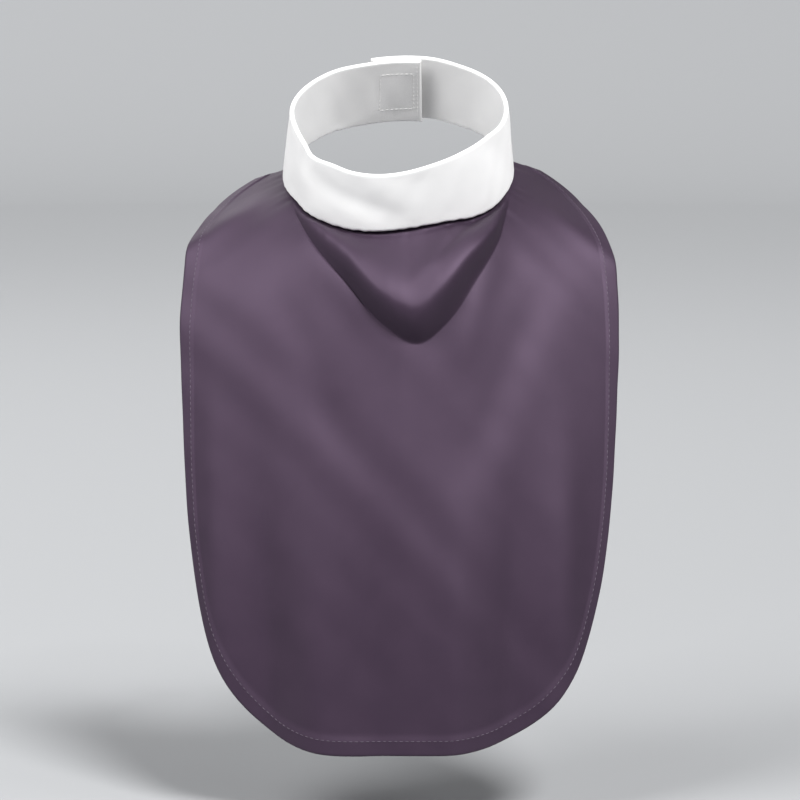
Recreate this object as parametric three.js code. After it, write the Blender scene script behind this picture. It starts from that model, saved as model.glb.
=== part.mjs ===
// A clerical collar with its bib, as it sits on a neck: a stiff white band that laps and closes at
// the back, and a dark cloth bib that is sewn inside the band's lower edge and hangs over the chest.
// Units are millimetres and degrees. +X is the wearer's left, -Y the front and +Z up. The origin is
// the centre of the neck opening, at the band's lower edge. Angles go round the neck from the front,
// and are positive on the wearer's left.
import * as THREE from 'three';

// The neck opening, inside the band's lower edge, and how it sits on the neck
const neckWidth = 122;
const neckDepth = 127;
const neckTilt = 23.3; // the front lies lower than the back
const neckRoll = 2.5; // the wearer's left lies higher

// The band: a folded strip of stiffened cloth
const bandHeight = 40;
const bandWall = 2.5;
const bandTaper = 4; // how far the top edge leans in to the neck
const bandLean = 0.05; // how far it stands over to the wearer's left, as a share of its height
const bandLap = 30; // how far its ends pass each other at the back
const lapRamp = 26; // the angle over which an end moves aside for the other

// The fastener: one hook-and-loop patch between the band's ends
const patchWall = 1.6;
const patchEndMargin = 3; // how far it stays back from the ends of the lap
const patchEdgeMargin = 7; // and from the band's two edges

// The bib: one layer of cloth, with a hem round its free edge
const bibLength = 285;
const bibWidth = 244;
const bibWall = 1.2;
const bibBackAngle = 104; // where its back edges leave the band
const bibTaper = 0.08; // how much narrower it is at the hem, as a share
const cornerFullness = 3.2; // 2 is an oval outline, and more is squarer
const outlineRise = 40; // how far the outline's oval would go on behind the neck's centre
const shoulderCut = 9; // how much is rounded off its corners on the shoulders
const shoulderSpan = 24; // and over what length of its edge
const hemWidth = 10;
const hemWall = 2.2;
const tuckHeight = 8; // how far the bib goes up inside the band
const foldRise = 14.5; // the height of the bib's deepest fold

// The body that the bib lies on, as slopes below the level
const throatSlope = 52; // just under the band, at the front
const shoulderSlope = 24; // out along the top of the shoulder
const shoulderFall = 18; // forwards, on top of the shoulder
const chestSlope = 74; // where the bib has come onto the chest
const hemSlope = 88; // where it hangs free below the chest
const chestWrap = 34; // how far the chest turns back at the bib's side edges
const collarboneReach = 30; // how quickly the shoulder gives way to the chest
const hangStart = 100; // how far down the front the cloth begins to hang
const hangEnd = 290; // and where it hangs fully

// The cloth outside the V falls away from its lip over this distance, and faster within the V
const lipWidth = 14;
const lipSteepness = 0.3;

// A fold has grown to its full height this far along, and begins to fade this far along
const foldGrows = 0.45;
const foldFades = 0.7;

// No fold lifts the cloth against the band's foot: they rise between these distances from the band
const liftStart = 1.25;
const liftEnd = 7;

// Pieces that touch keep this much apart, and a little more where the cloth turns under the band
const gap = 0.3;
const turnSlack = 0.1;

// The band's two edges round the neck: the height of the top edge and the rise of the foot, as
// shares of the band's height. The chin presses the top edge down at the front.
const bandEdges = [
  { angle: -180, top: 1.0, foot: 0.0 },
  { angle: -110, top: 1.02, foot: 0.0 },
  { angle: -80, top: 1.04, foot: 0.02 },
  { angle: -68, top: 0.99, foot: 0.03 },
  { angle: -62, top: 0.925, foot: 0.02 },
  { angle: -57, top: 0.83, foot: 0.0 },
  { angle: -52, top: 0.822, foot: -0.01 },
  { angle: -39, top: 0.845, foot: -0.017 },
  { angle: -26, top: 0.812, foot: -0.022 },
  { angle: -12, top: 0.815, foot: -0.004 },
  { angle: 1, top: 0.85, foot: 0.03 },
  { angle: 15, top: 0.91, foot: 0.055 },
  { angle: 26, top: 0.95, foot: 0.04 },
  { angle: 37, top: 0.98, foot: -0.02 },
  { angle: 52, top: 0.995, foot: -0.058 },
  { angle: 66, top: 0.975, foot: -0.04 },
  { angle: 84, top: 0.98, foot: -0.03 },
  { angle: 120, top: 1.0, foot: 0.0 },
  { angle: 180, top: 1.0, foot: 0.0 },
];

// Soft dents in the band: where each is (height as a share of the band's), its spread as an angle
// and as a share of the height, how far its angle shifts from foot to top, and its depth as a
// share of the band's height. A negative depth is a swelling.
const bandDents = [
  { angle: -29, height: 0.44, spread: 20, tall: 0.28, lean: -110, depth: 0.015 },
  { angle: -34, height: 0.2, spread: 14, tall: 0.35, lean: -40, depth: -0.006 },
  { angle: -56, height: 0.9, spread: 7, tall: 0.35, lean: 8, depth: 0.03 },
  { angle: -62, height: 0.05, spread: 9, tall: 0.4, lean: 10, depth: 0.018 },
  { angle: 24, height: 0.5, spread: 14, tall: 0.7, lean: 10, depth: -0.015 },
  { angle: 60, height: 0.8, spread: 9, tall: 0.5, lean: -12, depth: 0.02 },
];

// The pouch: the slack cloth under the throat sags into a rounded V. Each row says how far below
// the band the V runs at that angle, as a share of the bib's length, how high the cloth stands
// there, as a share of the deepest fold, how far up from the V it stands highest, and how high the
// cloth outside the V stands where it laps over the V's edge, as a share of the deepest fold.
const pouch = [
  { angle: -72, reach: 0.013, rise: 0.0, crest: 0.5, lip: 0.0 },
  { angle: -62, reach: 0.02, rise: 0.1, crest: 0.5, lip: 0.02 },
  { angle: -51, reach: 0.032, rise: 0.22, crest: 0.5, lip: 0.04 },
  { angle: -33, reach: 0.07, rise: 0.46, crest: 0.47, lip: 0.07 },
  { angle: -21, reach: 0.104, rise: 0.68, crest: 0.41, lip: 0.07 },
  { angle: -14, reach: 0.135, rise: 0.84, crest: 0.35, lip: 0.06 },
  { angle: -4, reach: 0.192, rise: 1.0, crest: 0.28, lip: 0.03 },
  { angle: 4, reach: 0.229, rise: 1.0, crest: 0.27, lip: 0.0 },
  { angle: 12, reach: 0.202, rise: 0.98, crest: 0.31, lip: 0.0 },
  { angle: 23, reach: 0.146, rise: 0.84, crest: 0.36, lip: 0.0 },
  { angle: 33, reach: 0.104, rise: 0.64, crest: 0.36, lip: 0.0 },
  { angle: 43, reach: 0.072, rise: 0.42, crest: 0.35, lip: 0.0 },
  { angle: 52, reach: 0.046, rise: 0.24, crest: 0.38, lip: 0.0 },
  { angle: 64, reach: 0.024, rise: 0.09, crest: 0.43, lip: 0.0 },
  { angle: 76, reach: 0.014, rise: 0.0, crest: 0.5, lip: 0.0 },
];

// Ridges and valleys across the bib, each from one place to another: the angle, and the distance
// below the band as a share of the bib's length. A reach above 1 runs off the hem. The width is a
// share of that length and the rise a share of the deepest fold, and a negative rise is a valley.
const bibFolds = [
  { fromAngle: 60, fromReach: 0.012, toAngle: 10, toReach: 0.1, width: 0.011, rise: -0.13 },
  { fromAngle: 62, fromReach: 0.03, toAngle: 0, toReach: 0.155, width: 0.015, rise: 0.06 },
  { fromAngle: 72, fromReach: 0.02, toAngle: 10, toReach: 0.34, width: 0.035, rise: 0.13 },
  { fromAngle: -30, fromReach: 0.0, toAngle: -4, toReach: 0.15, width: 0.022, rise: -0.04 },
  { fromAngle: -62, fromReach: 0.12, toAngle: -6, toReach: 0.5, width: 0.04, rise: -0.11 },
  { fromAngle: 62, fromReach: 0.16, toAngle: 8, toReach: 0.55, width: 0.04, rise: -0.11 },
  { fromAngle: -46, fromReach: 0.3, toAngle: -11, toReach: 1.5, width: 0.036, rise: 0.25 },
  { fromAngle: -30, fromReach: 0.34, toAngle: -8, toReach: 1.5, width: 0.038, rise: -0.25 },
  { fromAngle: -16, fromReach: 0.42, toAngle: -4.4, toReach: 1.5, width: 0.042, rise: 0.26 },
  { fromAngle: -4, fromReach: 0.5, toAngle: -1, toReach: 1.5, width: 0.045, rise: -0.17 },
  { fromAngle: 10, fromReach: 0.42, toAngle: 3, toReach: 1.5, width: 0.044, rise: 0.29 },
  { fromAngle: 24, fromReach: 0.36, toAngle: 6.5, toReach: 1.5, width: 0.04, rise: -0.26 },
  { fromAngle: 38, fromReach: 0.3, toAngle: 10.5, toReach: 1.5, width: 0.042, rise: 0.27 },
  { fromAngle: 84, fromReach: 0.03, toAngle: 62, toReach: 0.34, width: 0.03, rise: 0.12 },
  { fromAngle: -88, fromReach: 0.02, toAngle: -68, toReach: 0.32, width: 0.032, rise: 0.15 },
];

// How finely the cloth is divided
const bandColumns = 100;
const bandRows = 6;
const patchColumns = 6;
const patchRows = 4;
const bibColumns = 60;
const frontCrowding = 0.28; // how much closer together the columns are at the front
const pouchRows = 13;
const pouchMargin = 1.1; // how far past the V the pouch's rows go on, as a share of its reach
const shortestPouch = 10;
const hangRows = 11;
const hangSpread = 1.3; // above 1, the rows are further apart towards the hem
const tuckSteps = [1, 0.35]; // the tuck's rows, as shares of its height
const pathStep = 4; // how finely the cloth's path over the body is worked out
const outlineStep = 0.01; // and the bib's outline
const edgeRounding = [0.12, 0.45, 1]; // steps in from a rounded edge, as shares of half the wall

const { degToRad, lerp, clamp, smoothstep } = THREE.MathUtils;
const sine = (angle) => Math.sin(degToRad(angle));
const cosine = (angle) => Math.cos(degToRad(angle));
const steps = (count) => Array.from({ length: count + 1 }, (_, i) => i / count);
const bell = (distance, width) => Math.exp(-((distance / width) ** 2));

// A column of a table at any angle, on a smooth curve through its rows.
function read(table, column, angle) {
  const last = table.length - 1;
  const at = clamp(angle, table[0].angle, table[last].angle);
  const i = clamp(table.findIndex((row) => row.angle > at) - 1, 0, last - 1);
  const left = at >= table[last].angle ? last - 1 : i;
  const slope = (k) => {
    const before = table[Math.max(k - 1, 0)];
    const after = table[Math.min(k + 1, last)];
    return (after[column] - before[column]) / (after.angle - before.angle);
  };
  const span = table[left + 1].angle - table[left].angle;
  const t = (at - table[left].angle) / span;
  return (
    table[left][column] * (2 * t ** 3 - 3 * t ** 2 + 1) +
    table[left + 1][column] * (3 * t ** 2 - 2 * t ** 3) +
    slope(left) * span * (t ** 3 - 2 * t ** 2 + t) +
    slope(left + 1) * span * (t ** 3 - t ** 2)
  );
}

// The neck opening's own frame: tilted forwards, then rolled to one side.
const neckFrame = new THREE.Matrix4().makeRotationFromEuler(
  new THREE.Euler(degToRad(neckTilt), degToRad(-neckRoll), 0, 'YXZ'),
);

// A point round the neck, a distance out from the band's inner face and a height above its foot.
function neckPoint(angle, out, height) {
  const across = (neckWidth / 2 + out) * sine(angle) + bandLean * height;
  const forward = (neckDepth / 2 + out) * cosine(angle);
  return new THREE.Vector3(across, -forward, height).applyMatrix4(neckFrame);
}

// The outward directions of a grid of points. Its rows run downwards and its columns towards +X
// at the front.
function normalsOf(rows) {
  const lastRow = rows.length - 1;
  const lastColumn = rows[0].length - 1;
  return rows.map((row, i) =>
    row.map((_, j) => {
      const down = rows[Math.min(i + 1, lastRow)][j].clone().sub(rows[Math.max(i - 1, 0)][j]);
      const across = row[Math.min(j + 1, lastColumn)].clone().sub(row[Math.max(j - 1, 0)]);
      return down.cross(across).normalize();
    }),
  );
}

// A closed solid of cloth: a grid of points at mid wall, and the wall at each of them.
function clothGeometry(rows, walls) {
  const normals = normalsOf(rows);
  const columns = rows[0].length;
  const count = rows.length * columns;
  const positions = [];
  for (const side of [0.5, -0.5]) {
    rows.forEach((row, i) =>
      row.forEach((point, j) => {
        const face = point.clone().addScaledVector(normals[i][j], side * walls[i][j]);
        positions.push(face.x, face.y, face.z);
      }),
    );
  }
  const outer = (i, j) => i * columns + j;
  const inner = (i, j) => count + i * columns + j;
  const indices = [];
  const quad = (a, b, c, d) => indices.push(a, b, c, a, c, d);
  const bottom = rows.length - 1;
  const right = columns - 1;
  for (let i = 0; i < bottom; i += 1) {
    for (let j = 0; j < right; j += 1) {
      quad(outer(i, j), outer(i + 1, j), outer(i + 1, j + 1), outer(i, j + 1));
      quad(inner(i, j), inner(i, j + 1), inner(i + 1, j + 1), inner(i + 1, j));
    }
    quad(outer(i, 0), inner(i, 0), inner(i + 1, 0), outer(i + 1, 0));
    quad(outer(i, right), outer(i + 1, right), inner(i + 1, right), inner(i, right));
  }
  for (let j = 0; j < right; j += 1) {
    quad(outer(0, j), outer(0, j + 1), inner(0, j + 1), inner(0, j));
    quad(outer(bottom, j), inner(bottom, j), inner(bottom, j + 1), outer(bottom, j + 1));
  }
  const geometry = new THREE.BufferGeometry();
  geometry.setAttribute('position', new THREE.Float32BufferAttribute(positions, 3));
  geometry.setIndex(indices);
  geometry.computeVertexNormals();
  return geometry;
}

// Half the angle that a length along the back of the band covers.
const halfAngle = (length) => THREE.MathUtils.radToDeg(length / 2 / (neckWidth / 2 + bandWall / 2));

const bandFoot = (angle) => bandHeight * read(bandEdges, 'foot', angle);
const bandTop = (angle) => bandHeight * read(bandEdges, 'top', angle);

// How far the band's mid wall stands out from the neck opening at a height. It leans in towards
// the top, and each end moves aside at the back, one inwards and the other outwards.
function bandOut(angle, height) {
  const share = height / bandHeight;
  const lapAngle = 180 - halfAngle(bandLap);
  const aside = (bandWall + patchWall) / 2 + gap;
  const lap = aside * Math.sign(angle) * smoothstep(Math.abs(angle), lapAngle - lapRamp, lapAngle);
  const dents = bandDents.map((dent) => {
    const off = angle - dent.angle - dent.lean * (share - dent.height);
    return dent.depth * bell(off, dent.spread) * bell(share - dent.height, dent.tall);
  });
  const dented = bandHeight * dents.reduce((sum, depth) => sum + depth, 0);
  return bandWall / 2 - bandTaper * share + lap - dented;
}

function bandGeometry() {
  const radius = bandWall / 2;
  const reach = 180 + halfAngle(bandLap);
  const angles = steps(bandColumns).map((share) => lerp(-reach, reach, share));
  const rounded = edgeRounding.map((step) => ({
    inset: step * radius,
    wall: 2 * radius * Math.sqrt(1 - (1 - step) ** 2),
  }));
  // Each row is a distance in from the top or the foot, or a share of the way between them.
  const levels = [
    ...rounded.map(({ inset, wall }) => ({ height: (foot, top) => top - inset, wall })),
    ...steps(bandRows).slice(1, -1).map((share) => ({
      height: (foot, top) => lerp(top - radius, foot + radius, share),
      wall: bandWall,
    })),
    ...rounded.reverse().map(({ inset, wall }) => ({ height: (foot) => foot + inset, wall })),
  ];
  const rows = levels.map(({ height }) =>
    angles.map((angle) => {
      const level = height(bandFoot(angle), bandTop(angle));
      return neckPoint(angle, bandOut(angle, level), level);
    }),
  );
  return clothGeometry(rows, levels.map(({ wall }) => angles.map(() => wall)));
}

// The patch lies midway between the band's two ends, which stand aside for it equally.
function patchGeometry() {
  const half = halfAngle(bandLap - 2 * patchEndMargin);
  const angles = steps(patchColumns).map((share) => lerp(180 - half, 180 + half, share));
  const heights = steps(patchRows).map((share) =>
    lerp(bandHeight - patchEdgeMargin, patchEdgeMargin, share),
  );
  const rows = heights.map((height) =>
    angles.map((angle) => {
      const out = bandWall / 2 - (bandTaper * height) / bandHeight;
      return neckPoint(angle, out, height);
    }),
  );
  return clothGeometry(rows, rows.map((row) => row.map(() => patchWall)));
}

// The bib's tuck lies against the band's inner face, and turns out just below the band's foot.
const tuckAside = gap + turnSlack + bibWall / 2;
const tuckOut = (angle, height) => bandOut(angle, height) - bandWall / 2 - tuckAside;

// Where the cloth lies when it is flat: a distance from the band at an angle, as a distance
// across from the middle and a distance down from the neck's centre.
function flatPlace(angle, distance) {
  return new THREE.Vector2(
    (neckWidth / 2 + distance) * sine(angle),
    (neckDepth / 2 + distance) * cosine(angle),
  );
}

// The distance from the band to the bib's outline at an angle, by halving. The outline is an oval
// with filled corners that narrows towards the hem, and never comes within two hems of the band.
// Its corners on the shoulders are rounded off.
function outlineDistance(angle) {
  const halfLength = (neckDepth / 2 + bibLength + outlineRise) / 2;
  const centre = neckDepth / 2 + bibLength - halfLength;
  const inside = (distance) => {
    const place = flatPlace(angle, distance);
    const down = (place.y - centre) / halfLength;
    const across = place.x / ((bibWidth / 2) * (1 - bibTaper * down));
    return Math.abs(across) ** cornerFullness + Math.abs(down) ** cornerFullness < 1;
  };
  let near = 2 * hemWidth;
  let far = bibLength + bibWidth;
  while (far - near > outlineStep) {
    const middle = (near + far) / 2;
    if (inside(middle)) near = middle;
    else far = middle;
  }
  const fromCorner = degToRad(bibBackAngle - Math.abs(angle)) * (neckWidth / 2 + near);
  const rounded = near - shoulderCut * Math.max(1 - fromCorner / shoulderSpan, 0) ** 2;
  return Math.max(rounded, 2 * hemWidth);
}

// The direction in which the cloth runs away from the band, at an angle, after a distance, and at
// a place across the body: over the shoulder first, and then down and round the chest.
function clothDirection(angle, distance, across) {
  const down = Math.max(distance * cosine(angle), 0);
  const settled = 1 - Math.exp(-down / collarboneReach);
  const start = lerp(shoulderFall, throatSlope, cosine(angle) ** 2);
  const hang = (hemSlope - chestSlope) * smoothstep(down, hangStart, hangEnd);
  const slope = lerp(start, chestSlope, settled) + hang;
  const drop = shoulderSlope * (1 - settled);
  const wrap = (chestWrap * settled * across * Math.sign(angle)) / (bibWidth / 2);
  const side = Math.abs(sine(angle));
  return new THREE.Vector3(
    sine(angle) * cosine(drop) * cosine(wrap),
    side * sine(wrap) - cosine(angle) * cosine(slope),
    -side * sine(drop) * cosine(wrap) - cosine(angle) * sine(slope),
  ).normalize();
}

// How high the folds lift the cloth at an angle and a distance.
function foldHeight(angle, distance) {
  const sag = bibLength * read(pouch, 'reach', angle);
  const crest = read(pouch, 'crest', angle);
  const up = 1 - distance / sag; // 0 on the V, and 1 at the band
  const face = up < crest ? sine((90 * up) / crest) : 1 - smoothstep(up, crest, 1);
  const pouched = up > 0 ? read(pouch, 'rise', angle) * face : 0;
  const outside = distance - sag;
  const fall = lipWidth * (outside < 0 ? lipSteepness : 1);
  const lip = read(pouch, 'lip', angle) * bell(outside, fall);
  const place = flatPlace(angle, distance);
  const ridges = bibFolds.map((fold) => {
    const from = flatPlace(fold.fromAngle, fold.fromReach * bibLength);
    const to = flatPlace(fold.toAngle, fold.toReach * bibLength);
    const run = to.clone().sub(from);
    const off = place.clone().sub(from);
    const along = off.dot(run) / run.lengthSq();
    const aside = off.cross(run) / run.length();
    const fade = smoothstep(along, 0, foldGrows) * (1 - smoothstep(along, foldFades, 1));
    return fold.rise * bell(aside, fold.width * bibLength) * fade;
  });
  const lift = foldRise * smoothstep(distance, liftStart, liftEnd);
  return lift * ridges.reduce((sum, ridge) => sum + ridge, pouched + lip);
}

function bibGeometry() {
  // The columns stand closer at the front, where the folds are.
  const angles = steps(bibColumns).map((share) => {
    const even = 2 * share - 1;
    return bibBackAngle * ((1 - frontCrowding) * even + frontCrowding * even ** 3);
  });
  const columns = angles.map((angle) => {
    const end = outlineDistance(angle);
    const hemStart = end - hemWidth;
    // The rows follow the V, and below it they spread out down to the hem.
    const sag = pouchMargin * bibLength * read(pouch, 'reach', angle);
    const pouchEnd = Math.min(Math.max(sag, shortestPouch), hemStart / 2);
    const pouched = steps(pouchRows).map((share) => pouchEnd * share);
    const hanging = steps(hangRows).slice(1).map((share) => lerp(pouchEnd, hemStart, share ** hangSpread));
    const distances = [...pouched, ...hanging, hemStart + hemWall - bibWall, end];
    const foot = bandFoot(angle) - tuckAside;
    const tucked = tuckSteps.map((share) => {
      const height = lerp(bandFoot(angle), bandFoot(angle) + tuckHeight, share);
      return neckPoint(angle, tuckOut(angle, height), height);
    });
    const point = neckPoint(angle, tuckOut(angle, foot), foot);
    const path = distances.map((distance, i) => {
      const before = distances[Math.max(i - 1, 0)];
      const pieces = Math.ceil((distance - before) / pathStep);
      for (let k = 0; k < pieces; k += 1) {
        const length = (distance - before) / pieces;
        point.addScaledVector(clothDirection(angle, before + (k + 0.5) * length, point.x), length);
      }
      return point.clone();
    });
    return { angle, distances, points: [...tucked, ...path], tucked: tucked.length };
  });
  const smooth = columns[0].points.map((_, i) => columns.map((column) => column.points[i]));
  const normals = normalsOf(smooth);
  const folded = smooth.map((row, i) =>
    row.map((point, j) => {
      const distance = columns[j].distances[i - columns[j].tucked];
      const height = distance > 0 ? foldHeight(columns[j].angle, distance) : 0;
      return point.clone().addScaledVector(normals[i][j], height);
    }),
  );
  const hemRow = folded.length - 2;
  return clothGeometry(folded, folded.map((row, i) => row.map(() => (i < hemRow ? bibWall : hemWall))));
}

const white = { color: 0xf2f1f0, roughness: 0.85, metalness: 0 };
const charcoal = { color: 0x5b4d5e, roughness: 0.6, metalness: 0 };

function piece(name, geometry, look) {
  const mesh = new THREE.Mesh(geometry, new THREE.MeshStandardMaterial(look));
  mesh.name = name;
  return mesh;
}

const collar = new THREE.Group();
collar.name = 'clerical_collar';
collar.add(
  piece('collar_band', bandGeometry(), white),
  piece('back_fastener', patchGeometry(), white),
  piece('bib', bibGeometry(), charcoal),
);

export default collar;
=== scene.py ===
import math

import bpy
import numpy as np
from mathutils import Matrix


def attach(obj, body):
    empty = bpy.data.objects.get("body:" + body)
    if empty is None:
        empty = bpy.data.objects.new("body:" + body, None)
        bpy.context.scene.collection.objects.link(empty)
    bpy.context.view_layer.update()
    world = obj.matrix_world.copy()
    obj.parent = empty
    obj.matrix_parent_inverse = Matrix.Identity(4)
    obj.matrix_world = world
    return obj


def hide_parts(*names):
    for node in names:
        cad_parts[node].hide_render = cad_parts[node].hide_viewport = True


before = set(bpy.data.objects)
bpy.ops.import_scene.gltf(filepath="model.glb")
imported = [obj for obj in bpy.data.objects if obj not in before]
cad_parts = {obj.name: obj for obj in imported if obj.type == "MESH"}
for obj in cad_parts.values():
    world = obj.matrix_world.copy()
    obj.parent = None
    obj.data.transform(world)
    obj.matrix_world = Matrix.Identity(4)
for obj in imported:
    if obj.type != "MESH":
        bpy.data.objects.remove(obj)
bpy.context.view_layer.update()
mm = 0.001

# The neck. Nothing is built here: it is where the collar sits, and everything below is measured
# from it. The opening leans 23 degrees forwards and a little to the wearer's right. Angles go
# round it from the front and are positive on the wearer's left.
neck_width = 122 * mm
neck_depth = 127 * mm
neck_tilt = math.radians(23.3)
neck_roll = math.radians(2.5)
band_lean = 0.05
tilted = np.array([
    [1, 0, 0],
    [0, math.cos(neck_tilt), -math.sin(neck_tilt)],
    [0, math.sin(neck_tilt), math.cos(neck_tilt)],
])
rolled = np.array([
    [math.cos(neck_roll), 0, -math.sin(neck_roll)],
    [0, 1, 0],
    [math.sin(neck_roll), 0, math.cos(neck_roll)],
])
neck_lean = rolled @ tilted


def neck_point(angle, out, height):
    """An ellipse round the neck, `out` beyond the band's inner face and `height` above its foot,
    moved a little to the wearer's left with the height, and then leant as the neck leans."""
    across = (neck_width / 2 + out) * np.sin(angle) + band_lean * height
    forward = (neck_depth / 2 + out) * np.cos(angle)
    return np.stack([across, -forward, height + 0 * angle], -1) @ neck_lean.T


# The band. A strip of white cotton and polyester folded lengthwise over a stiff lining, so that
# the fold is its top edge, and stitched along its foot. It goes once round the neck and its ends
# pass each other at the back.
band_height = 40 * mm
band_wall = 2.5 * mm
band_taper = 4 * mm
band_lap = 30 * mm
lap_ramp = math.radians(26)
patch_wall = 1.6 * mm
gap = 0.3 * mm
foot_scallop = 0.16 * mm
scallop_length = 8 * mm
# the angles from the middle of the back between which the scallops begin
scallop_start = 0.2
scallop_full = 0.5
# the cloth's unevenness over the lining: long waves and small ones, each with its height, length
# and slant, and the calm strip at each edge
lining_wave = 0.15 * mm
lining_wave_length = 46 * mm
lining_slant = 0.7
small_wave = 0.05 * mm
small_wave_length = 19 * mm
small_slant = -0.5
calm_edge = 8 * mm
# angle, height of the top edge and rise of the foot, as shares of the band's height
band_edges = [
    (-180, 1.0, 0.0),
    (-110, 1.02, 0.0),
    (-80, 1.04, 0.02),
    (-68, 0.99, 0.03),
    (-62, 0.925, 0.02),
    (-57, 0.83, 0.0),
    (-52, 0.822, -0.01),
    (-39, 0.845, -0.017),
    (-26, 0.812, -0.022),
    (-12, 0.815, -0.004),
    (1, 0.85, 0.03),
    (15, 0.91, 0.055),
    (26, 0.95, 0.04),
    (37, 0.98, -0.02),
    (52, 0.995, -0.058),
    (66, 0.975, -0.04),
    (84, 0.98, -0.03),
    (120, 1.0, 0.0),
    (180, 1.0, 0.0),
]
# angle, height, spread of the angle, spread of the height, lean of the angle over the height, and
# depth, with heights and depths as shares of the band's height
band_dents = [
    (-29, 0.44, 20, 0.28, -110, 0.015),
    (-34, 0.2, 14, 0.35, -40, -0.006),
    (-56, 0.9, 7, 0.35, 8, 0.03),
    (-62, 0.05, 9, 0.4, 10, 0.018),
    (24, 0.5, 14, 0.7, 10, -0.015),
    (60, 0.8, 9, 0.5, -12, 0.02),
]


def smooth(value, start, end):
    """0 before start, 1 after end, and 3t^2 - 2t^3 between them."""
    t = np.clip((value - start) / (end - start), 0, 1)
    return t * t * (3 - 2 * t)


def bell(distance, width):
    """e to the minus (distance / width) squared."""
    return np.exp(-((distance / width) ** 2))


def read(table, column, angle):
    """The cubic curve through one column of a table, whose first column is an angle in degrees.
    Its slope at a row is that between the rows on either side."""
    at = np.radians([row[0] for row in table])
    value = np.array([row[column] for row in table])
    before = np.maximum(np.arange(len(at)) - 1, 0)
    after = np.minimum(np.arange(len(at)) + 1, len(at) - 1)
    slope = (value[after] - value[before]) / (at[after] - at[before])
    angle = np.clip(angle, at[0], at[-1])
    left = np.clip(np.searchsorted(at, angle, side="right") - 1, 0, len(at) - 2)
    span = at[left + 1] - at[left]
    t = (angle - at[left]) / span
    return (
        value[left] * (2 * t**3 - 3 * t**2 + 1)
        + value[left + 1] * (3 * t**2 - 2 * t**3)
        + slope[left] * span * (t**3 - 2 * t**2 + t)
        + slope[left + 1] * span * (t**3 - t**2)
    )


def ripple(place, length, seed):
    """A sum of five sines whose wavelengths lie round `length`, between about -1 and 1. The seed
    picks their wavelengths and phases."""
    count = 5
    random = np.random.default_rng(seed)
    waves = length * random.uniform(0.6, 1.6, count)
    phases = random.uniform(0, 2 * math.pi, count)
    total = sum(np.sin(2 * math.pi * place / w + p) for w, p in zip(waves, phases))
    return total / math.sqrt(count)


def band_foot(angle):
    """The height of the band's lower edge, from the table."""
    return band_height * read(band_edges, 2, angle)


def band_top(angle):
    """The height of the band's upper edge, from the table."""
    return band_height * read(band_edges, 1, angle)


def half_angle(length):
    """Half the angle that a length covers at the back of the band."""
    return length / 2 / (neck_width / 2 + band_wall / 2)


def band_out(angle, height):
    """How far the middle of the band's wall stands out: half a wall, less the taper towards the
    top, plus or minus the step aside at the lap, less the dents."""
    share = height / band_height
    lap_angle = math.pi - half_angle(band_lap)
    aside = (band_wall + patch_wall) / 2 + gap
    lap = aside * np.sign(angle) * smooth(np.abs(angle), lap_angle - lap_ramp, lap_angle)
    out = band_wall / 2 - band_taper * share + lap
    for at, level, spread, tall, lean, depth in band_dents:
        off = np.degrees(angle) - at - lean * (share - level)
        out = out - band_height * depth * bell(off, spread) * bell(share - level, tall)
    return out


def sheet_normals(grid):
    """The outward directions of a grid of points whose rows run down and whose columns run
    towards +X at the front: the slope down crossed with the slope across."""
    down = np.gradient(grid, axis=0)
    across = np.gradient(grid, axis=1)
    normals = np.cross(down, across)
    return normals / np.linalg.norm(normals, axis=-1, keepdims=True)


def put_mesh(name, points, faces, cloth_place):
    """A mesh from arrays of points and of corners, with each corner's place on the cloth in its
    UV map, in metres."""
    mesh = bpy.data.meshes.new(name)
    mesh.vertices.add(len(points))
    mesh.vertices.foreach_set("co", points.astype(np.float32).ravel())
    mesh.loops.add(faces.size)
    mesh.loops.foreach_set("vertex_index", faces.astype(np.int32).ravel())
    mesh.polygons.add(len(faces))
    loop_starts = np.arange(0, faces.size, faces.shape[1], dtype=np.int32)
    mesh.polygons.foreach_set("loop_start", loop_starts)
    mesh.polygons.foreach_set("use_smooth", np.ones(len(faces), dtype=bool))
    layer = mesh.uv_layers.new(name="cloth")
    layer.data.foreach_set("uv", cloth_place[faces.ravel()].astype(np.float32).ravel())
    mesh.update(calc_edges=True)
    piece = bpy.data.objects.new(name, mesh)
    bpy.context.collection.objects.link(piece)
    return piece


def closed_sheet(name, middle, wall, cloth_place):
    """A closed wall of cloth. Its outer and inner faces are the grid moved half the wall out and
    in along its normals, and a strip of faces joins them all round the rim."""
    rows, columns = middle.shape[:2]
    offset = sheet_normals(middle) * wall[..., None] / 2
    points = np.concatenate([(middle + offset).reshape(-1, 3), (middle - offset).reshape(-1, 3)])
    outer = np.arange(rows * columns).reshape(rows, columns)
    inner = outer + rows * columns

    def quads(a, b, c, d):
        return np.stack([a, b, c, d], -1).reshape(-1, 4)

    faces = np.concatenate([
        quads(outer[:-1, :-1], outer[1:, :-1], outer[1:, 1:], outer[:-1, 1:]),
        quads(inner[:-1, :-1], inner[:-1, 1:], inner[1:, 1:], inner[1:, :-1]),
        quads(outer[:-1, 0], inner[:-1, 0], inner[1:, 0], outer[1:, 0]),
        quads(outer[:-1, -1], outer[1:, -1], inner[1:, -1], inner[:-1, -1]),
        quads(outer[0, :-1], outer[0, 1:], inner[0, 1:], inner[0, :-1]),
        quads(outer[-1, :-1], inner[-1, :-1], inner[-1, 1:], outer[-1, 1:]),
    ])
    places = np.concatenate([cloth_place.reshape(-1, 2)] * 2)
    return put_mesh(name, points, faces, places)


def round_edge(depth, wall):
    """The wall at a distance in from a round edge: a half circle, and then the full wall. At the
    very edge a fiftieth of the wall is left, so that the rim's faces have an area."""
    left = np.clip(1 - depth / (wall / 2), 0, 1)
    return wall * np.sqrt(np.maximum(1 - left**2, 0.02**2))


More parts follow.
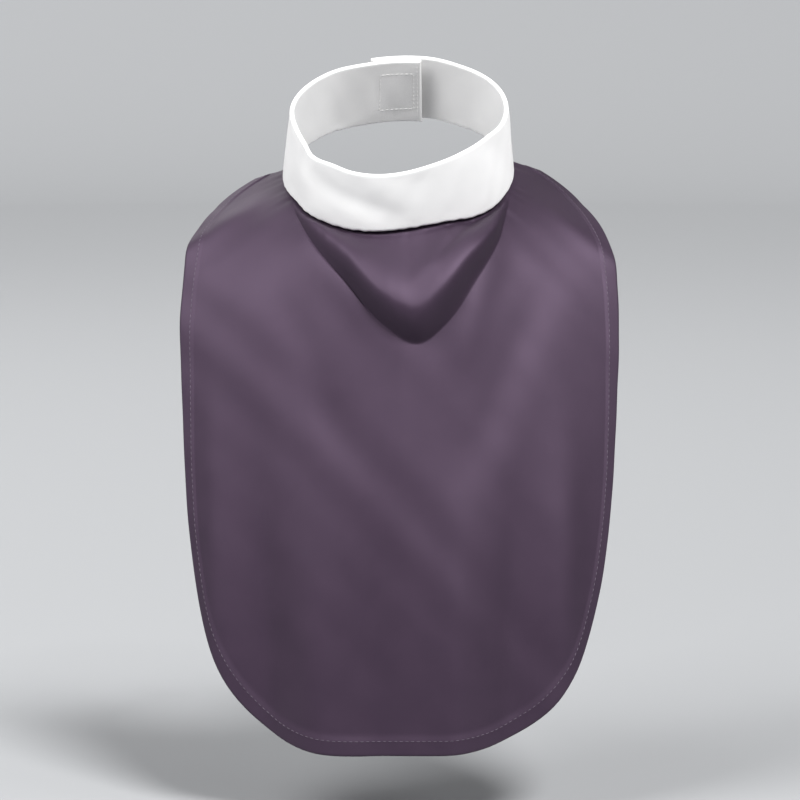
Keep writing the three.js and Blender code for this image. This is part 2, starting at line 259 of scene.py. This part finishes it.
def edge_steps(count):
    """How far in from a round edge its rows of points lie, at even angles of the half circle."""
    return band_wall * (1 - np.cos(np.linspace(0, math.pi / 2, count))) / 2


band_columns = 640
band_rows = 40
band_reach = math.pi + half_angle(band_lap)
band_angles = np.linspace(-band_reach, band_reach, band_columns)
# Five close angles take the place of the last two at each end, which is rounded like the edges.
end_angle = edge_steps(5) / (neck_width / 2)
band_angles = np.concatenate([
    -band_reach + end_angle,
    band_angles[2:-2],
    (band_reach - end_angle)[::-1],
])
edge_rows = edge_steps(6)
middle_shares = np.linspace(0, 1, band_rows)[1:-1]

top = band_top(band_angles)
scallop = foot_scallop * ripple(band_angles * neck_width / 2, scallop_length, seed=3)
scallop = scallop * smooth(math.pi - np.abs(band_angles), scallop_start, scallop_full)
foot = band_foot(band_angles) + scallop
band_levels = np.concatenate([
    top - edge_rows[:, None],
    (top - edge_rows[-1]) + middle_shares[:, None] * (foot - top + 2 * edge_rows[-1]),
    foot + edge_rows[::-1, None],
])
band_grid_angle = np.broadcast_to(band_angles, band_levels.shape)
from_end = (band_reach - np.abs(band_grid_angle)) * neck_width / 2
from_edge = np.minimum(top - band_levels, band_levels - foot)
band_thickness = round_edge(np.minimum(from_end, from_edge), band_wall)
along = band_grid_angle * neck_width / 2


def band_middle_out(angle, level):
    """The middle of the wall, with the cloth lying a little unevenly over its lining away from
    the two edges."""
    along = angle * neck_width / 2
    uneven = lining_wave * ripple(along + lining_slant * level, lining_wave_length, seed=11)
    small = small_wave * ripple(along + small_slant * level, small_wave_length, seed=12)
    edge = np.minimum(band_top(angle) - level, level - band_foot(angle))
    return band_out(angle, level) + (uneven + small) * smooth(edge, 0, calm_edge)


band_middle = band_middle_out(band_grid_angle, band_levels)
band = closed_sheet(
    "white_band",
    neck_point(band_grid_angle, band_middle, band_levels),
    band_thickness,
    np.stack([along, band_levels], -1),
)
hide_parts("collar_band")
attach(band, "root")


def weave_group():
    """Plain weave: two sets of threads cross, each thread a raised half wave, and the set on top
    changes like a chessboard. It puts out the height of the threads and a slow change of tone."""
    thread_drift = 0.7
    group = bpy.data.node_groups.new("woven_threads", "ShaderNodeTree")
    group.interface.new_socket(name="Place", in_out="INPUT", socket_type="NodeSocketVector")
    group.interface.new_socket(name="Threads", in_out="INPUT", socket_type="NodeSocketFloat")
    group.interface.new_socket(name="Height", in_out="OUTPUT", socket_type="NodeSocketFloat")
    group.interface.new_socket(name="Tone", in_out="OUTPUT", socket_type="NodeSocketFloat")
    nodes, links = group.nodes, group.links
    given = nodes.new("NodeGroupInput")
    out = nodes.new("NodeGroupOutput")

    def maths(operation, *values):
        node = nodes.new("ShaderNodeMath")
        node.operation = operation
        for socket, value in zip(node.inputs, values):
            if isinstance(value, (int, float)):
                socket.default_value = value
            else:
                links.new(value, socket)
        return node.outputs[0]

    scaled = nodes.new("ShaderNodeVectorMath")
    scaled.operation = "SCALE"
    links.new(given.outputs["Place"], scaled.inputs[0])
    links.new(given.outputs["Threads"], scaled.inputs["Scale"])
    wobble = nodes.new("ShaderNodeTexNoise")
    wobble.inputs["Scale"].default_value = 0.3
    wobble.inputs["Detail"].default_value = 2
    links.new(scaled.outputs[0], wobble.inputs["Vector"])
    parts = nodes.new("ShaderNodeSeparateXYZ")
    links.new(scaled.outputs[0], parts.inputs[0])
    drift = maths("MULTIPLY", maths("SUBTRACT", wobble.outputs["Fac"], 0.5), thread_drift)
    u = maths("ADD", parts.outputs["X"], drift)
    v = maths("ADD", parts.outputs["Y"], drift)
    warp = maths("ABSOLUTE", maths("SINE", maths("MULTIPLY", u, math.pi)))
    weft = maths("ABSOLUTE", maths("SINE", maths("MULTIPLY", v, math.pi)))
    cell = maths("ADD", maths("FLOOR", u), maths("FLOOR", v))
    over = maths("PINGPONG", cell, 1)
    raised_warp = maths("MULTIPLY", warp, over)
    raised_weft = maths("MULTIPLY", weft, maths("SUBTRACT", 1, over))
    height = maths("ADD", raised_warp, raised_weft)
    links.new(height, out.inputs["Height"])
    slow = nodes.new("ShaderNodeTexNoise")
    slow.inputs["Scale"].default_value = 0.02
    slow.inputs["Detail"].default_value = 4
    links.new(scaled.outputs[0], slow.inputs["Vector"])
    links.new(slow.outputs["Fac"], out.inputs["Tone"])
    return group


woven_threads = weave_group()


def cloth_material(name, dark, light, threads, relief, roughness, sheen, specular, tint=(1, 1, 1)):
    """Cloth: the tone drifts slowly between two colours, the threads shade it a little and lift
    the surface, and gloss and sheen are the same all over."""
    material = bpy.data.materials.new(name)
    material.use_nodes = True
    nodes, links = material.node_tree.nodes, material.node_tree.links
    shader = nodes["Principled BSDF"]
    place = nodes.new("ShaderNodeUVMap")
    place.uv_map = "cloth"
    weave = nodes.new("ShaderNodeGroup")
    weave.node_tree = woven_threads
    weave.inputs["Threads"].default_value = threads
    links.new(place.outputs["UV"], weave.inputs["Place"])
    tone = nodes.new("ShaderNodeMapRange")
    tone.inputs["From Min"].default_value = 0.3
    tone.inputs["From Max"].default_value = 0.7
    links.new(weave.outputs["Tone"], tone.inputs["Value"])
    colour = nodes.new("ShaderNodeMix")
    colour.data_type = "RGBA"
    colour.inputs["A"].default_value = (*dark, 1)
    colour.inputs["B"].default_value = (*light, 1)
    links.new(tone.outputs["Result"], colour.inputs["Factor"])
    thread_shade = nodes.new("ShaderNodeMapRange")
    thread_shade.inputs["To Min"].default_value = 0.86
    thread_shade.inputs["To Max"].default_value = 1.0
    links.new(weave.outputs["Height"], thread_shade.inputs["Value"])
    shaded = nodes.new("ShaderNodeVectorMath")
    shaded.operation = "SCALE"
    links.new(colour.outputs["Result"], shaded.inputs[0])
    links.new(thread_shade.outputs["Result"], shaded.inputs["Scale"])
    links.new(shaded.outputs[0], shader.inputs["Base Color"])
    bump = nodes.new("ShaderNodeBump")
    bump.inputs["Strength"].default_value = 0.5
    bump.inputs["Distance"].default_value = relief
    links.new(weave.outputs["Height"], bump.inputs["Height"])
    links.new(bump.outputs["Normal"], shader.inputs["Normal"])
    shader.inputs["Roughness"].default_value = roughness
    shader.inputs["Specular IOR Level"].default_value = specular
    shader.inputs["Specular Tint"].default_value = (*tint, 1)
    shader.inputs["Sheen Weight"].default_value = sheen
    shader.inputs["Sheen Roughness"].default_value = 0.45
    return material


white_cloth = cloth_material(
    "white_band_cloth",
    dark=(0.88, 0.875, 0.87),
    light=(0.92, 0.915, 0.91),
    threads=2200,
    relief=0.06 * mm,
    roughness=0.85,
    sheen=0.12,
    specular=0.25,
)
band.data.materials.append(white_cloth)

# The band's stitches. White polyester thread, sewn by machine in a row across each end of the band
# and in a square that holds each tape of the fastener. Each row is made on the face that shows.
white_thread = cloth_material(
    "white_thread",
    dark=(0.8, 0.795, 0.785),
    light=(0.88, 0.875, 0.865),
    threads=1200,
    relief=0.05 * mm,
    roughness=0.6,
    sheen=0.1,
    specular=0.4,
)
band_pitch = 2.6 * mm
end_row_inset = 2.4 * mm
end_row_margin = 3 * mm
end_row_points = 40
square_margin = 4 * mm
square_share = 0.8
square_top = 31.5 * mm
square_foot = 8.5 * mm
square_points = 161
thread_width = 0.42 * mm
stitch_rings = 5
stitch_sides = 6
# a stitch's length as a share of the pitch, how high it arches and how far it sinks in as shares
# of its width, how thick its ends are beside its middle, and how far their tips reach beside that
stitch_cover = 0.78
stitch_arch = 0.55
stitch_sink = 0.4
stitch_end = 0.45
stitch_tip = 0.7


def stitch_row(name, line, outward, pitch, material):
    """Short threads along a line on the cloth, one at each pitch. Each is a six-sided tube whose
    middle stands on the cloth and whose ends go down into it: with s from -1 to 1 along it, its
    height follows 1 - s^2 and its thickness the root of that."""
    run = np.concatenate([[0], np.cumsum(np.linalg.norm(np.diff(line, axis=0), axis=1))])
    count = int(run[-1] / pitch)
    shares = np.linspace(-0.5, 0.5, stitch_rings)
    middles = (np.arange(count) + 0.5) * run[-1] / count
    at = middles[:, None] + shares * stitch_cover * pitch

    def follow(values):
        return np.stack([np.interp(at, run, values[:, k]) for k in range(3)], -1)

    centre = follow(line)
    up = follow(outward)
    up = up / np.linalg.norm(up, axis=-1, keepdims=True)
    ahead = np.gradient(centre, axis=1)
    ahead = ahead / np.linalg.norm(ahead, axis=-1, keepdims=True)
    side = np.cross(up, ahead)
    side = side / np.linalg.norm(side, axis=-1, keepdims=True)
    arch = 1 - (2 * shares) ** 2
    centre = centre + up * (thread_width * (stitch_arch * arch - stitch_sink))[:, None]
    radius = thread_width / 2 * (stitch_end + (1 - stitch_end) * np.sqrt(arch))
    turn = np.arange(stitch_sides) * 2 * math.pi / stitch_sides
    spokes = np.cos(turn)[:, None] * side[:, :, None] + np.sin(turn)[:, None] * up[:, :, None]
    rings = centre[:, :, None] + radius[:, None, None] * spokes
    tips = ahead[:, [0, -1]] * np.array([[-1], [1]]) * radius[0] * stitch_tip
    poles = centre[:, [0, -1]] + tips
    points = np.concatenate([rings.reshape(count, -1, 3), poles], axis=1)
    ring = np.arange(stitch_rings * stitch_sides).reshape(stitch_rings, stitch_sides)
    after = np.roll(ring, -1, axis=1)
    faces = np.concatenate([
        np.stack([ring[:-1], after[:-1], after[1:]], -1).reshape(-1, 3),
        np.stack([ring[:-1], after[1:], ring[1:]], -1).reshape(-1, 3),
        np.stack([np.full(stitch_sides, ring.size), after[0], ring[0]], -1),
        np.stack([np.full(stitch_sides, ring.size + 1), ring[-1], after[-1]], -1),
    ])
    faces = faces + (ring.size + 2) * np.arange(count)[:, None, None]
    thread_place = np.repeat(np.stack([middles, middles * 0], -1), ring.size + 2, axis=0)
    row = put_mesh(name, points.reshape(-1, 3), faces.reshape(-1, 3), thread_place)
    row.data.materials.append(material)
    return row


def on_band(angle, level, side):
    """Points on the band's outer face, where side is 1, or its inner face, where it is -1, and
    the way out of that face."""
    middle = neck_point(angle, band_middle_out(angle, level), level)
    beyond = neck_point(angle, band_middle_out(angle, level) + 1 * mm, level)
    outward = side * (beyond - middle)
    outward = outward / np.linalg.norm(outward, axis=-1, keepdims=True)
    return middle + outward * band_wall / 2, outward


band_stitches = []
square_half = half_angle(band_lap - square_margin)
corner_turns = square_share * np.array([-1, 1, 1, -1, -1])
corner_levels = np.array([square_top, square_top, square_foot, square_foot, square_top])
for name, end in (("outer", 1), ("inner", -1)):
    # The outer end shows on the outside and the inner end on the inside.
    face = end
    row_angle = end * (band_reach - end_row_inset / (neck_width / 2))
    levels = np.linspace(end_row_margin, band_height - end_row_margin, end_row_points)
    line = on_band(np.full(end_row_points, row_angle), levels, face)
    band_stitches.append(stitch_row(f"{name}_end_stitches", *line, band_pitch, white_thread))
    round_square = np.linspace(0, 4, square_points)
    angles = np.interp(round_square, np.arange(5), end * math.pi + square_half * corner_turns)
    levels = np.interp(round_square, np.arange(5), corner_levels)
    line = on_band(angles, levels, face)
    band_stitches.append(stitch_row(f"{name}_patch_stitches", *line, band_pitch, white_thread))
for row in band_stitches:
    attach(row, "root")

# The fastener. Two pieces of hook-and-loop tape, the loops on the outer end of the band and the
# hooks on the inner one, pressed together between the two ends.
patch_end_margin = 3 * mm
patch_edge_margin = 7 * mm
patch_columns = 60
patch_rows = 64
tape_wall = 0.76 * mm
tape_edge = 0.8 * mm
tape_edge_share = 0.75
patch_half = half_angle(band_lap - 2 * patch_end_margin)
patch_angles = np.linspace(math.pi - patch_half, math.pi + patch_half, patch_columns)
patch_top = band_height - patch_edge_margin
patch_heights = np.linspace(patch_top, patch_edge_margin, patch_rows)
patch_angle, patch_height = np.meshgrid(patch_angles, patch_heights)
patch_place = np.stack([(patch_angle - math.pi) * neck_width / 2, patch_height], -1)
patch_inset = np.minimum(
    np.minimum(patch_angle - patch_angles[0], patch_angles[-1] - patch_angle) * neck_width / 2,
    np.minimum(patch_heights[0] - patch_height, patch_height - patch_heights[-1]),
)
patch_out = band_wall / 2 - band_taper * patch_height / band_height
tape_fullness = tape_edge_share + (1 - tape_edge_share) * smooth(patch_inset, 0, tape_edge)
tape = cloth_material(
    "fastener_tape",
    dark=(0.68, 0.68, 0.66),
    light=(0.8, 0.8, 0.78),
    threads=900,
    relief=0.25 * mm,
    roughness=0.9,
    sheen=0.3,
    specular=0.3,
)
for name, side in (("fastener_loops", 1), ("fastener_hooks", -1)):
    half = closed_sheet(
        name,
        neck_point(patch_angle, patch_out + side * patch_wall / 4, patch_height),
        tape_wall * tape_fullness,
        patch_place,
    )
    half.data.materials.append(tape)
    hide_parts("back_fastener")
    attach(half, "root")

# The bib. One layer of dark polyester satin, sewn up inside the band's foot from one shoulder to
# the other, and hemmed round its free edge. Under the throat it has slack, which sags into a
# rounded V, and the cloth on the wearer's right laps over the V's edge in a crisp crease.
bib_length = 285 * mm
bib_width = 244 * mm
bib_wall = 1.2 * mm
bib_back_angle = math.radians(104)
bib_taper = 0.08
corner_fullness = 3.2
outline_rise = 40 * mm
shoulder_cut = 9 * mm
shoulder_span = 24 * mm
hem_width = 10 * mm
hem_wall = 2.2 * mm
tuck_height = 8 * mm
fold_rise = 14.5 * mm
turn_slack = 0.1 * mm
# The body that the bib lies on, as slopes below the level: under the band at the front, out along
# the shoulder, forwards on top of it, on the chest, and below it where the cloth hangs free. Then
# how far the chest turns back at the bib's sides, how quickly the shoulder gives way to it, and
# between which reaches down the front the cloth begins to hang.
throat_slope, shoulder_slope, shoulder_fall = np.radians([52, 24, 18])
chest_slope, hem_slope, chest_wrap = np.radians([74, 88, 34])
collarbone_reach = 30 * mm
hang_start = 100 * mm
hang_end = 290 * mm
# The V's edge: the angles between which its crease turns soft, how wide the cloth falls away
# outside it and how sharply within it
crease_softens, crease_soft = np.radians([4, 26])
lip_width = 14 * mm
lip_fall = 1.4 * mm
# The fine ridge beside it: its height as a share of the deepest fold, its distance from the edge,
# its two widths, and the angles and the reaches of the V between which it grows
ridge_rise = 0.06
ridge_place = 1.5 * mm
ridge_inner = 1.1 * mm
ridge_outer = 10 * mm
ridge_angles = np.radians([4, 18])
ridge_reaches = (6 * mm, 16 * mm)
# A fold has grown and begins to fade this far along it, and between these distances from the band
# all of them rise clear of its foot.
fold_grows = 0.45
fold_fades = 0.7
lift_start = 1.25 * mm
lift_end = 7 * mm
# angle, how far below the band the V runs as a share of the bib's length, how high the slack
# stands as a share of the deepest fold, how far up from the V it stands highest, and how high the
# cloth outside the V stands at its edge as a share of the deepest fold
pouch = [
    (-72, 0.013, 0.0, 0.5, 0.0),
    (-62, 0.02, 0.1, 0.5, 0.02),
    (-51, 0.032, 0.22, 0.5, 0.04),
    (-33, 0.07, 0.46, 0.47, 0.07),
    (-21, 0.104, 0.68, 0.41, 0.07),
    (-14, 0.135, 0.84, 0.35, 0.06),
    (-4, 0.192, 1.0, 0.28, 0.03),
    (4, 0.229, 1.0, 0.27, 0.0),
    (12, 0.202, 0.98, 0.31, 0.0),
    (23, 0.146, 0.84, 0.36, 0.0),
    (33, 0.104, 0.64, 0.36, 0.0),
    (43, 0.072, 0.42, 0.35, 0.0),
    (52, 0.046, 0.24, 0.38, 0.0),
    (64, 0.024, 0.09, 0.43, 0.0),
    (76, 0.014, 0.0, 0.5, 0.0),
]
# Folds: from an angle and a reach to an angle and a reach, then the width and the height. Reaches
# and widths are shares of the bib's length, heights are shares of the deepest fold, and a negative
# height is a valley.
bib_folds = [
    (60, 0.012, 10, 0.1, 0.011, -0.13),
    (62, 0.03, 0, 0.155, 0.015, 0.06),
    (72, 0.02, 10, 0.34, 0.035, 0.13),
    (-30, 0.0, -4, 0.15, 0.022, -0.04),
    (-62, 0.12, -6, 0.5, 0.04, -0.11),
    (62, 0.16, 8, 0.55, 0.04, -0.11),
    (-46, 0.3, -11, 1.5, 0.036, 0.25),
    (-30, 0.34, -8, 1.5, 0.038, -0.25),
    (-16, 0.42, -4.4, 1.5, 0.042, 0.26),
    (-4, 0.5, -1, 1.5, 0.045, -0.17),
    (10, 0.42, 3, 1.5, 0.044, 0.29),
    (24, 0.36, 6.5, 1.5, 0.04, -0.26),
    (38, 0.3, 10.5, 1.5, 0.042, 0.27),
    (84, 0.03, 62, 0.34, 0.03, 0.12),
    (-88, 0.02, -68, 0.32, 0.032, 0.15),
]


def flat_place(angle, distance):
    """Where a point of the bib lies when the cloth is flat: the neck's ellipse made wider by the
    distance."""
    across = (neck_width / 2 + distance) * np.sin(angle)
    down = (neck_depth / 2 + distance) * np.cos(angle)
    return np.stack([across, down], -1)


def outline_distance(angle):
    """The distance from the band to the bib's edge, by halving: where the point leaves a squared
    oval that narrows towards the hem. Each corner on the shoulders is then rounded off by a
    parabola."""
    half_length = (neck_depth / 2 + bib_length + outline_rise) / 2
    centre = neck_depth / 2 + bib_length - half_length
    near = np.full(angle.shape, 2 * hem_width)
    far = np.full(angle.shape, bib_length + bib_width)
    for _ in range(40):
        middle = (near + far) / 2
        place = flat_place(angle, middle)
        down = (place[..., 1] - centre) / half_length
        across = place[..., 0] / (bib_width / 2 * (1 - bib_taper * down))
        inside = np.abs(across) ** corner_fullness + np.abs(down) ** corner_fullness < 1
        near = np.where(inside, middle, near)
        far = np.where(inside, far, middle)
    from_corner = (bib_back_angle - np.abs(angle)) * (neck_width / 2 + near)
    rounded = near - shoulder_cut * np.maximum(1 - from_corner / shoulder_span, 0) ** 2
    return np.maximum(rounded, 2 * hem_width)


def cloth_direction(angle, distance, across):
    """The direction in which the cloth runs away from the band. Near the neck it slopes out over
    the shoulder, and as it goes forwards it turns down and wraps round the chest."""
    down = np.maximum(distance * np.cos(angle), 0)
    settled = 1 - np.exp(-down / collarbone_reach)
    start = shoulder_fall + (throat_slope - shoulder_fall) * np.cos(angle) ** 2
    slope = start + (chest_slope - start) * settled
    slope = slope + (hem_slope - chest_slope) * smooth(down, hang_start, hang_end)
    drop = shoulder_slope * (1 - settled)
    wrap = chest_wrap * settled * across * np.sign(angle) / (bib_width / 2)
    side = np.abs(np.sin(angle))
    direction = np.stack([
        np.sin(angle) * np.cos(drop) * np.cos(wrap),
        side * np.sin(wrap) - np.cos(angle) * np.cos(slope),
        -side * np.sin(drop) * np.cos(wrap) - np.cos(angle) * np.sin(slope),
    ], -1)
    return direction / np.linalg.norm(direction, axis=-1, keepdims=True)


def fold_height(angle, distance):
    """How high the folds lift the cloth. The slack rises from the V to its crest as a quarter of
    a sine, steepest at the V, and falls gently to the band. Towards the wearer's left the crease
    at the V is soft. The edge outside the V falls away on both sides of it, sharply within it, and
    on the wearer's right a fine ridge follows it, steep towards the V and gentle away from it.
    Each further fold is a bell across its line, which grows and fades along it. No fold lifts the
    cloth against the band's foot."""
    sag = bib_length * read(pouch, 1, angle)
    crest = read(pouch, 3, angle)
    up = 1 - distance / sag
    soft = smooth(angle, crease_softens, crease_soft)
    curl = (1 - soft) * np.sin(math.pi / 2 * np.clip(up / crest, 0, 1))
    curl = curl + soft * smooth(up, 0, crest)
    face = np.where(up < crest, curl, 1 - smooth(up, crest, 1))
    total = np.where(up > 0, read(pouch, 2, angle) * face, 0)
    outside = distance - sag
    lip = bell(np.maximum(outside, 0), lip_width) * np.exp(np.minimum(outside, 0) / lip_fall)
    total = total + read(pouch, 4, angle) * lip
    crisp = smooth(-angle, *ridge_angles) * smooth(sag, *ridge_reaches)
    past_ridge = outside - ridge_place
    ridge_width = np.where(past_ridge < 0, ridge_inner, ridge_outer)
    total = total + ridge_rise * crisp * bell(past_ridge, ridge_width)
    place = flat_place(angle, distance)
    for from_angle, from_reach, to_angle, to_reach, width, rise in bib_folds:
        start = flat_place(np.radians(from_angle), from_reach * bib_length)
        run = flat_place(np.radians(to_angle), to_reach * bib_length) - start
        off = place - start
        length = np.linalg.norm(run)
        along = off @ run / length**2
        aside = (off[..., 0] * run[1] - off[..., 1] * run[0]) / length
        fade = smooth(along, 0, fold_grows) * (1 - smooth(along, fold_fades, 1))
        total = total + rise * bell(aside, width * bib_length) * fade
    return fold_rise * total * smooth(distance, lift_start, lift_end)


bib_columns = 236
tuck_rows = 8
pouch_rows = 84
hang_rows = 96
hem_rows = 12
# The columns crowd towards the front, and the rows below the pouch towards the band. The pouch's
# rows go a little past the V, and at least this far.
even_share = 0.72
crowded_share = 0.28
row_crowding = 1.3
pouch_margin = 1.1
pouch_least = 10 * mm
tuck_lowest = 0.5 * mm

even = np.linspace(-1, 1, bib_columns)
bib_angles = bib_back_angle * (even_share * even + crowded_share * even**3)
bib_end = outline_distance(bib_angles)
hem_start = bib_end - hem_width
sag_end = pouch_margin * bib_length * read(pouch, 1, bib_angles)
pouch_end = np.minimum(np.maximum(sag_end, pouch_least), hem_start / 2)
pouch_shares = np.linspace(0, 1, pouch_rows)[:, None]
hang_shares = (np.linspace(0, 1, hang_rows + 1)[1:] ** row_crowding)[:, None]
hem_shares = np.sin(np.linspace(0, math.pi / 2, hem_rows + 1)[1:])[:, None]
bib_distance = np.concatenate([
    pouch_shares * pouch_end,
    pouch_end + hang_shares * (hem_start - pouch_end),
    hem_start + hem_shares * hem_width,
])
tuck_aside = gap + turn_slack + bib_wall / 2
foot = band_foot(bib_angles)


def tuck_out(angle, height):
    """The tuck lies against the band's inner face."""
    return band_out(angle, height) - band_wall / 2 - tuck_aside


tuck_level = foot + np.linspace(tuck_height, tuck_lowest, tuck_rows)[:, None]
tuck_angle = np.broadcast_to(bib_angles, tuck_level.shape)
tuck = neck_point(tuck_angle, tuck_out(tuck_angle, tuck_level), tuck_level)

# The cloth's path away from the band is followed in short steps, three from one row to the next.
steps_each = 3
point = neck_point(bib_angles, tuck_out(bib_angles, foot - tuck_aside), foot - tuck_aside)
path = [point]
for before, after in zip(bib_distance[:-1], bib_distance[1:]):
    length = (after - before) / steps_each
    for part in range(steps_each):
        direction = cloth_direction(bib_angles, before + (part + 0.5) * length, point[:, 0])
        point = point + direction * length[:, None]
    path.append(point)
path = np.array(path)

bib_smooth = np.concatenate([tuck, path])
bib_normals = sheet_normals(bib_smooth)
grid_angle = np.broadcast_to(bib_angles, bib_distance.shape)
height = fold_height(grid_angle, bib_distance)
place = flat_place(grid_angle, bib_distance)
# The seam gathers the cloth into small puckers, and the rest hangs a little unevenly, in long waves
# and in short ones that cross them.
pucker_height = 0.3 * mm
pucker_length = 8 * mm
pucker_reach = 7 * mm
pucker_start = 1.5 * mm
pucker_full = 4 * mm
long_wave = 0.4 * mm
long_wave_length = 80 * mm
long_slant = 0.4
short_wave = 0.16 * mm
short_wave_length = 46 * mm
short_slant = -0.9
wave_start = 5 * mm
wave_full = 50 * mm
round_neck = grid_angle * neck_width / 2
pucker = pucker_height * ripple(round_neck, pucker_length, seed=5)
pucker = pucker * np.exp(-bib_distance / pucker_reach)
pucker = pucker * smooth(bib_distance, pucker_start, pucker_full)
crossways, downwards = place[..., 0], place[..., 1]
unevenness = long_wave * ripple(crossways + long_slant * downwards, long_wave_length, seed=21)
crossing = short_wave * ripple(crossways + short_slant * downwards, short_wave_length, seed=22)
unevenness = (unevenness + crossing) * smooth(bib_distance, wave_start, wave_full)
lift = np.concatenate([np.zeros(tuck_level.shape), height + pucker + unevenness])
bib_middle = bib_smooth + bib_normals * lift[..., None]

all_distance = np.concatenate([tuck_level * 0, bib_distance])
from_hem = np.concatenate([tuck_level * 0 + 1, bib_end - bib_distance])
side_end = bib_back_angle - np.abs(np.broadcast_to(bib_angles, all_distance.shape))
side_end = side_end * (neck_width / 2 + all_distance)
hem_step = 1 * mm
hemmed = smooth(hem_width - from_hem, 0, hem_step)
full_wall = bib_wall + (hem_wall - bib_wall) * hemmed
bib_thickness = round_edge(np.minimum(from_hem, np.maximum(side_end, 0)), full_wall)
tuck_place = flat_place(tuck_angle, foot - tuck_level)
bib = closed_sheet(
    "charcoal_bib",
    bib_middle,
    bib_thickness,
    np.concatenate([tuck_place, place]),
)
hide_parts("bib")
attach(bib, "root")
bib.data.materials.append(cloth_material(
    "charcoal_satin",
    dark=(0.0205, 0.0121, 0.0226),
    light=(0.024, 0.0143, 0.0259),
    threads=3000,
    relief=0.025 * mm,
    roughness=0.56,
    sheen=0.04,
    specular=0.56,
    tint=(0.88, 0.66, 0.93),
))

# The bib's stitches. Dark polyester thread, sewn by machine in a row along the hem, which shows on
# both faces of the cloth, and in a row inside the band that holds the tuck to its foot.
bib_pitch = 3 * mm
hem_row = 8 * mm
seam_row = 5 * mm
charcoal_thread = cloth_material(
    "charcoal_thread",
    dark=(0.06, 0.042, 0.066),
    light=(0.085, 0.062, 0.092),
    threads=1200,
    relief=0.05 * mm,
    roughness=0.45,
    sheen=0.1,
    specular=0.5,
)
bib_outward = sheet_normals(bib_middle)


def across_bib(distance, side):
    """Where a line at a distance from the band crosses each column of the bib, on its outer face
    or its inner one, and the way out of it."""
    rows = np.concatenate([-tuck_level + foot, bib_distance])
    surface = bib_middle + side * bib_outward * bib_thickness[..., None] / 2
    values = np.concatenate([surface, side * bib_outward], -1)
    crossing = np.array([
        [np.interp(distance[j], rows[:, j], values[:, j, k]) for k in range(6)]
        for j in range(bib_columns)
    ])
    return crossing[:, :3], crossing[:, 3:]


for name, distance, side in (
    ("hem_stitches", bib_end - hem_row, 1),
    ("hem_stitches_behind", bib_end - hem_row, -1),
    ("neck_seam_stitches", np.full(bib_columns, -seam_row), -1),
):
    row = stitch_row(name, *across_bib(distance, side), bib_pitch, charcoal_thread)
    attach(row, "root")

# The studio. A round pale floor that curves up into a wall well behind every view, a soft key light
# high in front on the wearer's left, and three weaker lights that open the shadows.
floor_level = -0.335
floor_radius = 3.4
floor_curve = 1.0
wall_height = 1.7
floor_columns = 97
curve = np.linspace(0, math.pi / 2, 16)
floor_flat = np.linspace(0.01 * mm, floor_radius, 12)
floor_out = np.concatenate([
    floor_flat,
    floor_radius + floor_curve * np.sin(curve),
    [floor_radius + floor_curve],
])
floor_up = np.concatenate([0 * floor_flat, floor_curve * (1 - np.cos(curve)), [wall_height]])
floor_turn = np.linspace(0, 2 * math.pi, floor_columns)
floor_points = np.stack([
    np.outer(floor_out, np.cos(floor_turn)),
    np.outer(floor_out, np.sin(floor_turn)),
    np.outer(floor_level + floor_up, np.ones(floor_columns)),
], -1)
corner = np.arange(floor_points[..., 0].size).reshape(floor_points.shape[:2])
floor_faces = np.stack([corner[:-1, :-1], corner[1:, :-1], corner[1:, 1:], corner[:-1, 1:]], -1)
floor_points = floor_points.reshape(-1, 3)
floor = put_mesh("floor", floor_points, floor_faces.reshape(-1, 4), floor_points[:, :2])
floor_material = bpy.data.materials.new("studio_floor")
floor_material.use_nodes = True
floor_shader = floor_material.node_tree.nodes["Principled BSDF"]
floor_shader.inputs["Base Color"].default_value = (0.29, 0.295, 0.303, 1)
floor_shader.inputs["Roughness"].default_value = 0.9
floor.data.materials.append(floor_material)


def aim(thing, target):
    """Turns a light or the camera so that it looks from its location at the target."""
    x, y, z = (b - a for a, b in zip(thing.location, target))
    flat = math.hypot(x, y)
    thing.rotation_euler = (math.pi / 2 + math.atan2(z, flat), 0, math.atan2(-x, y))


def soft_light(name, place, target, size, power):
    """A square area light of a size, aimed from its place at a target."""
    lamp = bpy.data.lights.new(name, "AREA")
    lamp.size = size
    lamp.energy = power
    light = bpy.data.objects.new(name, lamp)
    bpy.context.collection.objects.link(light)
    light.location = place
    aim(light, target)


collar_middle = (0, -0.03, -0.1)
sun = bpy.data.lights.new("key", "SUN")
sun.energy = 4.5
sun.angle = math.radians(18)
key = bpy.data.objects.new("key", sun)
bpy.context.collection.objects.link(key)
key.location = (0.85, -1.45, 2.1)
aim(key, collar_middle)
soft_light("fill", (-1.7, -1.3, 2.1), collar_middle, 1.4, 92)
soft_light("side", (2.0, -1.2, 1.2), collar_middle, 1.0, 14)
soft_light("back", (-0.4, 1.8, 1.6), collar_middle, 1.4, 22)
world = bpy.data.worlds.new("studio")
bpy.context.scene.world = world
world.use_nodes = True
world.node_tree.nodes["Background"].inputs["Color"].default_value = (0.9, 0.93, 1, 1)
world.node_tree.nodes["Background"].inputs["Strength"].default_value = 0.08
bpy.context.scene.view_settings.view_transform = "Standard"

# The camera stands in front of the collar and looks a little down at it, as in the photograph.
camera_distance = 2.5
camera_rise = math.radians(5)
camera_height = camera_distance * math.sin(camera_rise)
camera_target = (0.001, -0.03, -0.121)
lens = bpy.data.cameras.new("camera")
lens.lens = 205
camera = bpy.data.objects.new("camera", lens)
bpy.context.collection.objects.link(camera)
camera.location = (0, -camera_distance * math.cos(camera_rise), camera_height)
aim(camera, camera_target)
bpy.context.scene.camera = camera
